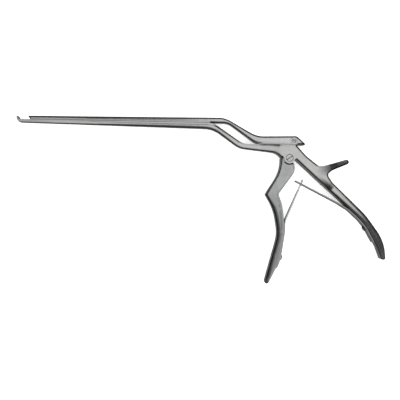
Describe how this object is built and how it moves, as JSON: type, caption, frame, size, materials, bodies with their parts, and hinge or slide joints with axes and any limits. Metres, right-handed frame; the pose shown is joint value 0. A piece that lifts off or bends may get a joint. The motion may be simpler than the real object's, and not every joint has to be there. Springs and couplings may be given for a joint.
{
  "type": "bone punch",
  "caption": "Surgical bone punch with a long bayonet shaft: the front handle swings on its pivot screw and a fork drives the sliding shaft onto the foot; two hooked leaf springs open it",
  "frame": {"origin": "on the pivot axis of the front handle, in the plane of the flat side that the punch lies on", "axes": "+X from the foot back to the handles, +Y from the handles up to the sliding shaft, +Z out of the side that faces up"},
  "size_m": [0.277, 0.1227, 0.01],
  "materials": {
    "satin_steel": "satin",
    "screw_steel": "satin",
    "spring_steel": "satin"
  },
  "bodies": {
    "frame": {"fixed_shaft": "satin_steel", "pivot_screw": "screw_steel", "rear_spring": "spring_steel", "rear_spring_screw": "screw_steel"},
    "trigger": {"front_handle": "satin_steel", "front_spring": "spring_steel", "front_spring_screw": "screw_steel"},
    "slide": {"sliding_shaft": "satin_steel", "drive_screw": "screw_steel"}
  },
  "joints": [
    {"name": "trigger_swing", "type": "hinge", "parent": "frame", "child": "trigger", "pos_m": [0, 0, 0.005], "axis": [0, 0, 1], "range_deg": [0, 32.2], "stiffness_Nm_per_rad": 0.6, "springref_deg": -17.19, "deforming": ["front_spring", "rear_spring"]},
    {"name": "slide_travel", "type": "slide", "parent": "frame", "child": "slide", "axis": [-1, 0, 0], "range_m": [0, 0.0075]}
  ],
  "couplings": [
    {"joint": "slide_travel", "follows": "trigger_swing", "m_per_rad": 0.01333}
  ]
}
